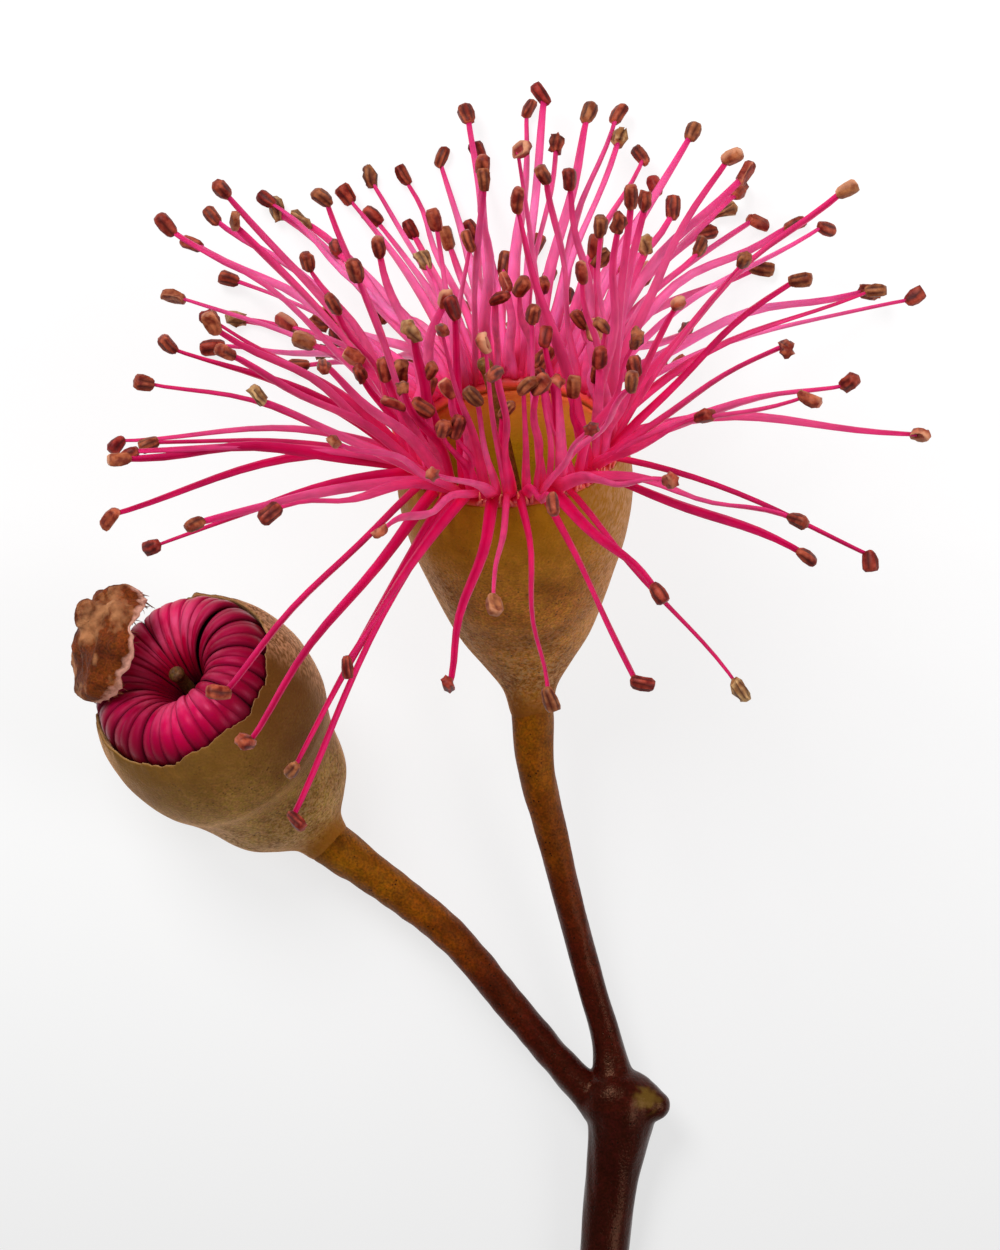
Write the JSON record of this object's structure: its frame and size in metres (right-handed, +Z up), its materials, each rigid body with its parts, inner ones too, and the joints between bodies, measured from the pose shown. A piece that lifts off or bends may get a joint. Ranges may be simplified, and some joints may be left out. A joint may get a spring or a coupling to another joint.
{
  "type": "pink flowering gum flower",
  "caption": "Cut sprig of flowering gum lying down: an open flower with long pink stamens, and an opening bud with its shed cap, on one forked twig.",
  "frame": {"origin": "middle of the box round the whole sprig, on the table that it lies on", "axes": "+Z up from the table, +Y from the stem's cut end to the flower head, +X to the right seen from above"},
  "size_m": [0.0431, 0.0649, 0.0346],
  "materials": {
    "twig_skin": "smooth, half glossy, olive brown turning maroon down the stem",
    "cup_skin": "matte olive tan skin with fine dark specks",
    "stamen_pink": "silky magenta pink threads with dull brown anthers",
    "style_green": "soft, waxy yellow green",
    "bud_crimson": "silky crimson folds",
    "husk": "dry, matte, papery brown"
  },
  "bodies": {
    "root": {"twig": "twig_skin", "flower_cup": "cup_skin", "flower_stamens": "stamen_pink", "flower_style": "style_green", "bud_cup": "cup_skin", "bud_stamens": "bud_crimson", "bud_style": "style_green", "bud_cap": "husk"}
  },
  "joints": []
}
